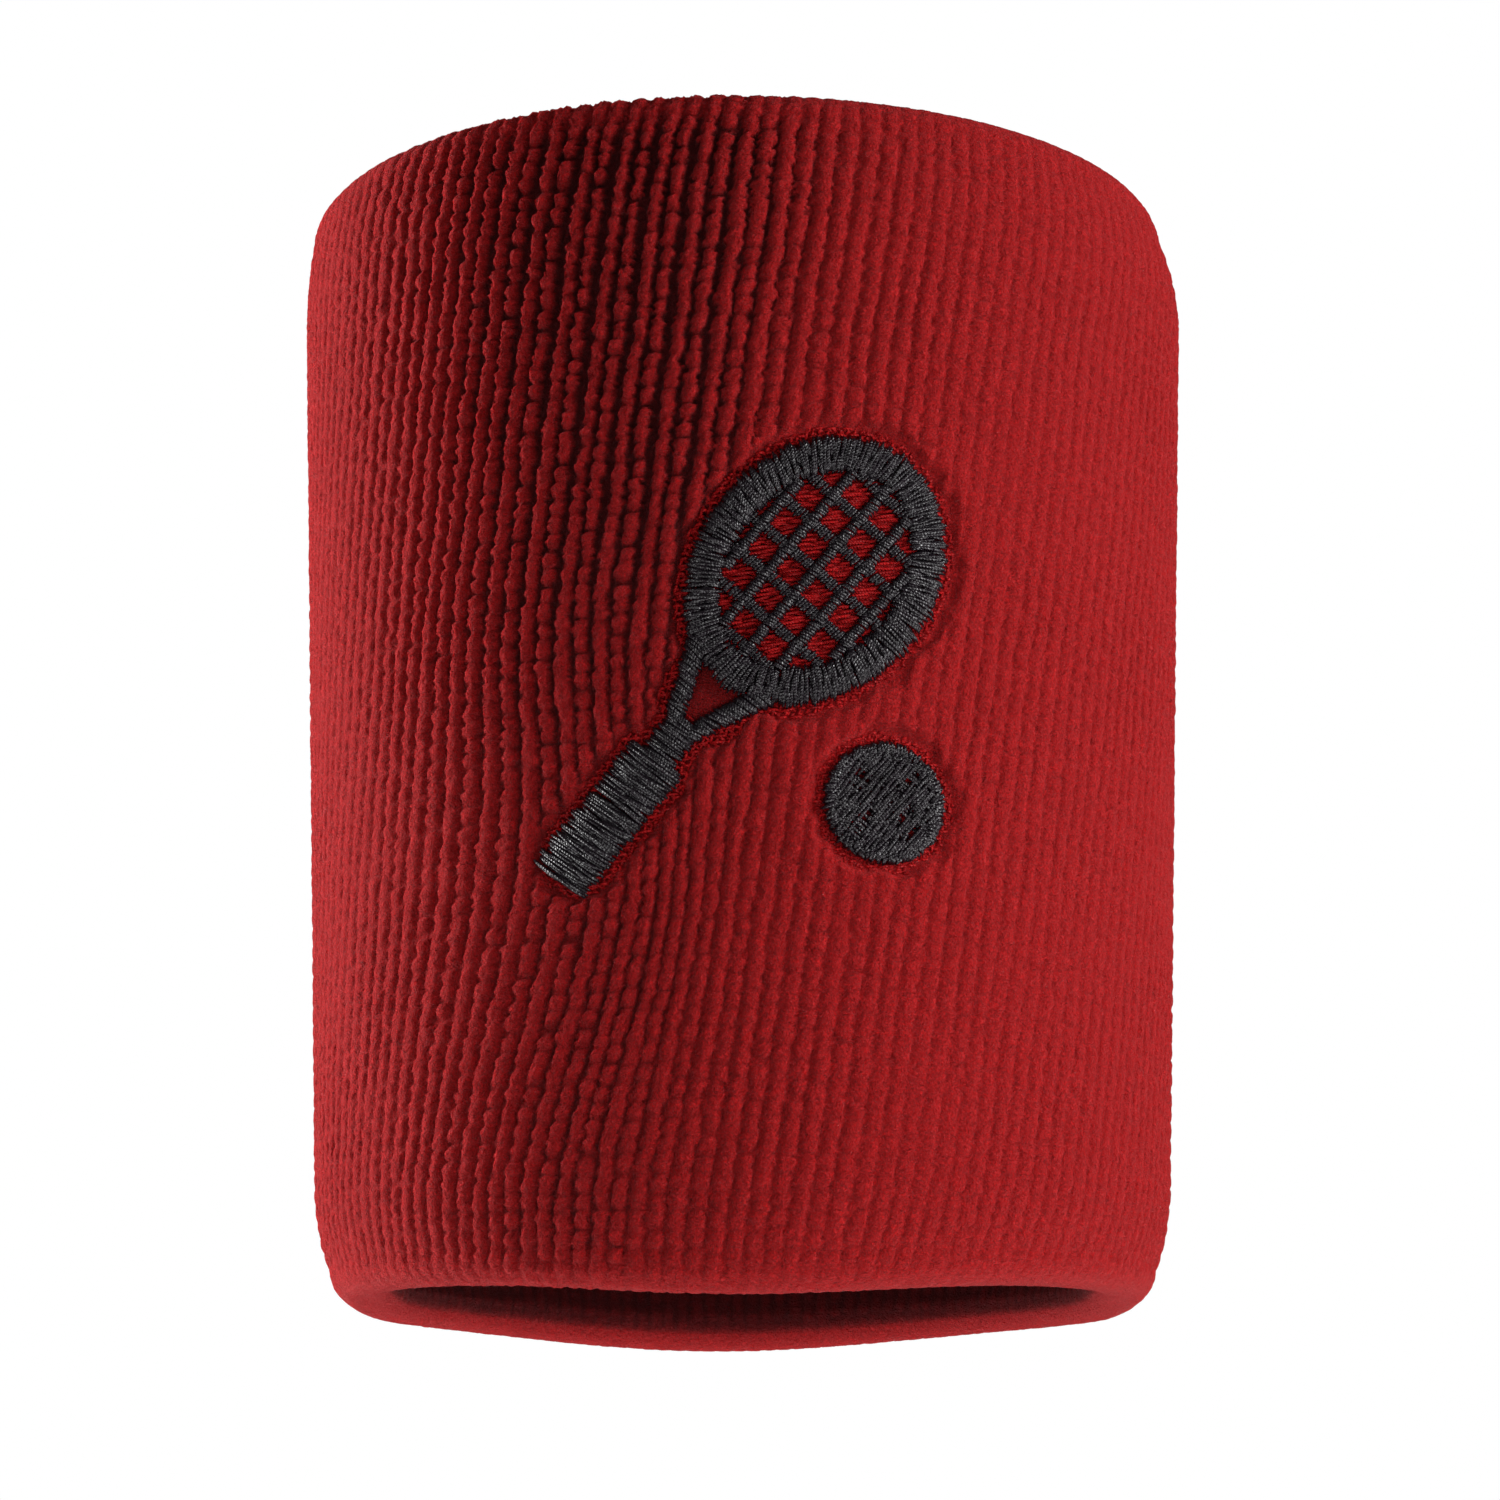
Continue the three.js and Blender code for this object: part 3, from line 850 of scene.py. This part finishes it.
def border_stitches():
    """Red stitches that hold the pile down: a ragged edge round the emblem and rows of
    fill inside the racket's head."""
    work = Stitches(36)
    bed_length = HEAD_HALF_LENGTH - FRAME_WIDTH / 2
    bed_width = HEAD_HALF_WIDTH - FRAME_WIDTH / 2

    def near_emblem(points):
        gap = emblem_distance(points)
        return (gap > -0.9 * MM) & (gap < 0.6 * BORDER)

    def in_head(points):
        return ellipse_distance(points, bed_length, bed_width) < 0

    low = on_racket(-BUTT_FROM_HEAD, 0.0) - 4 * MM
    high = HEAD + 13 * MM
    low[1] = min(low[1], BALL[1] - BALL_RADIUS - 2 * MM)
    for turn, level in ((20, -0.62), (-35, -0.55), (75, -0.50), (5, -0.42)):
        work.fill(near_emblem, low, high, 0.42 * MM, 0.9 * MM, level * MM, math.radians(turn))
    for turn, level in ((-12, -0.62), (6, -0.5), (10, -0.42)):
        work.fill(in_head, low, high, 0.30 * MM, 1.9 * MM, level * MM, math.radians(turn))
    name = "emblem_border_stitches_red"
    return work.build(name, THREAD * 0.8, THREAD * 0.65, on_front, bury=0.35 * MM)


def seam_stitches():
    """Overlock stitches round the inside, where the cloth's two ends meet."""
    work = Stitches(37)
    inner = outer_radius(MIDDLE) - WALL
    count = 230
    step = 2 * math.pi * inner / count
    half = 0.9 * MM
    over = 0.06 * MM
    loose = 0.03 * MM
    for i in range(count):
        x = i * step
        work.sew([x, -half], [x + step * 0.6, half], 0.0, loose)
        work.sew([x + step * 0.6, half], [x + step * 1.5, 0.75 * MM], over, loose)
        work.sew([x - step * 0.2, -0.8 * MM], [x + step * 0.9, -0.95 * MM], over, loose)

    def on_lining(flat, lift):
        angle = flat[..., 0] / inner
        radius = inner - 0.05 * MM - lift
        z = MIDDLE + flat[..., 1]
        return np.stack([radius * np.sin(angle), -radius * np.cos(angle), z], -1)

    name = "closing_seam_stitches"
    return work.build(name, 0.3 * MM, 0.26 * MM, on_lining, bury=0.4 * MM)


cloth = finish_piece(build_cloth(), TERRY, "terry_cloth", "terry_tube")
finish_piece(frame_stitches(), CHARCOAL, "emblem_thread", "emblem_racket_frame")
finish_piece(string_stitches(), CHARCOAL, "emblem_thread", "emblem_racket_strings")
finish_piece(throat_stitches(), CHARCOAL, "emblem_thread", "emblem_racket_throat")
finish_piece(grip_stitches(), CHARCOAL, "emblem_thread", "emblem_racket_grip")
finish_piece(ball_stitches(), CHARCOAL, "emblem_thread", "emblem_ball")
finish_piece(border_stitches(), RED_THREAD, "border_thread", "emblem_border_stitches")
finish_piece(seam_stitches(), SEAM_THREAD, "seam_thread", "closing_seam_thread")

# The pieces between the layers stay as the CAD has them.
for node, material in (
    ("elastic_yarn", ELASTIC),
    ("embroidery_backing", BACKING),
    ("embroidery_bobbin_thread", BACKING),
):
    bpy.data.objects[node].data.materials.clear()
    bpy.data.objects[node].data.materials.append(material)

# ---- floor, lights and camera --------------------------------------------------------

CAMERA_DISTANCE = 269.9 * MM
CAMERA_BELOW = 15.7 * MM
CAMERA_ASIDE = 0.5 * MM
CAMERA_PITCH = math.radians(9.3)
CAMERA_LENS = 95.3
CAMERA_SENSOR = 36
CAMERA_SHIFT = 0.1

# The photo's camera looks up from below the rim, so the floor lies under the camera and
# the band floats over it, as in the photo.
FLOOR = -CAMERA_BELOW - 1.8 * MM
FLOOR_SIZE = 3.0
FLOOR_GLOW = 0.72

AMBIENT = 0.185
RIM_GLOW_POWER = 0.013
RIM_GLOW_LIGHTS = 16
RIM_GLOW_SIZE = 12 * MM
RIM_GLOW_HEIGHT = -11 * MM


def add_floor():
    """A white table that glows a little, so that it is as even as in the photo."""
    signs = ((-1, -1), (1, -1), (1, 1), (-1, 1))
    corners = np.array([[x * FLOOR_SIZE, y * FLOOR_SIZE, FLOOR] for x, y in signs])
    floor = add_object("floor", mesh_from("floor", corners, np.array([[0, 1, 2, 3]])))
    n = Nodes("pale_floor")
    n.shade(base_color=(0.9, 0.9, 0.9, 1), roughness=0.7)
    n.shade(emission_color=(1, 1, 1, 1), emission_strength=FLOOR_GLOW)
    floor.data.materials.append(n.material)
    floor.visible_diffuse = False


def add_lamp(light, angle, distance, height):
    """Hangs a light round the band, unseen by the camera. Angle 0 is the front."""
    lamp = bpy.data.objects.new(light.name, light)
    lamp.location = (distance * math.sin(angle), -distance * math.cos(angle), height)
    lamp.visible_camera = False
    bpy.context.scene.collection.objects.link(lamp)
    return lamp


def add_softbox(name, azimuth, distance, height, width, tall, power):
    """A softbox aimed at the band's middle. Azimuth 0 is the front, 90 is +X."""
    light = bpy.data.lights.new(name, "AREA")
    light.shape = "RECTANGLE"
    light.size, light.size_y, light.energy = width, tall, power
    lamp = add_lamp(light, math.radians(azimuth), distance, height)
    aim = Vector((0, 0, MIDDLE)) - lamp.location
    lamp.rotation_euler = aim.to_track_quat("-Z", "Y").to_euler()


def add_rim_glow():
    """The bright table's glow on the underside of the lower rim, from a ring of lights."""
    for i in range(RIM_GLOW_LIGHTS):
        light = bpy.data.lights.new("rim_glow_%d" % i, "AREA")
        light.shape = "DISK"
        light.size = RIM_GLOW_SIZE
        light.energy = RIM_GLOW_POWER / RIM_GLOW_LIGHTS
        angle = 2 * math.pi * i / RIM_GLOW_LIGHTS
        lamp = add_lamp(light, angle, LOWER_RADIUS - WALL / 2, RIM_GLOW_HEIGHT)
        lamp.rotation_euler = (math.pi, 0, 0)


def add_world():
    """White behind the object, and only a dim light from all round it."""
    world = bpy.data.worlds.new("studio")
    world.use_nodes = True
    bpy.context.scene.world = world
    tree = world.node_tree
    background = tree.nodes["Background"]
    background.inputs["Color"].default_value = (1, 1, 1, 1)
    path = tree.nodes.new("ShaderNodeLightPath")
    level = tree.nodes.new("ShaderNodeMapRange")
    level.inputs["To Min"].default_value = AMBIENT
    level.inputs["To Max"].default_value = 1.0
    tree.links.new(path.outputs["Is Camera Ray"], level.inputs["Value"])
    tree.links.new(level.outputs[0], background.inputs["Strength"])


def add_camera():
    """In front of the band, below its lower rim and tilted up."""
    data = bpy.data.cameras.new("camera")
    data.lens = CAMERA_LENS
    data.sensor_width = CAMERA_SENSOR
    data.shift_y = CAMERA_SHIFT
    data.clip_start = 0.01
    camera = bpy.data.objects.new("camera", data)
    camera.location = (CAMERA_ASIDE, -CAMERA_DISTANCE, -CAMERA_BELOW)
    camera.rotation_euler = (math.pi / 2 + CAMERA_PITCH, 0, 0)
    bpy.context.scene.collection.objects.link(camera)
    bpy.context.scene.camera = camera


add_floor()
add_softbox("right_softbox", 71, 0.70, 0.08, width=0.60, tall=0.4, power=9.4)
add_softbox("left_softbox", -111, 0.70, 0.08, width=0.38, tall=0.4, power=14.5)
add_softbox("low_fill", -5, 0.11, -1.5 * MM, width=0.20, tall=0.006, power=0.045)
add_rim_glow()
add_world()
add_camera()
bpy.context.scene.view_settings.view_transform = "Standard"
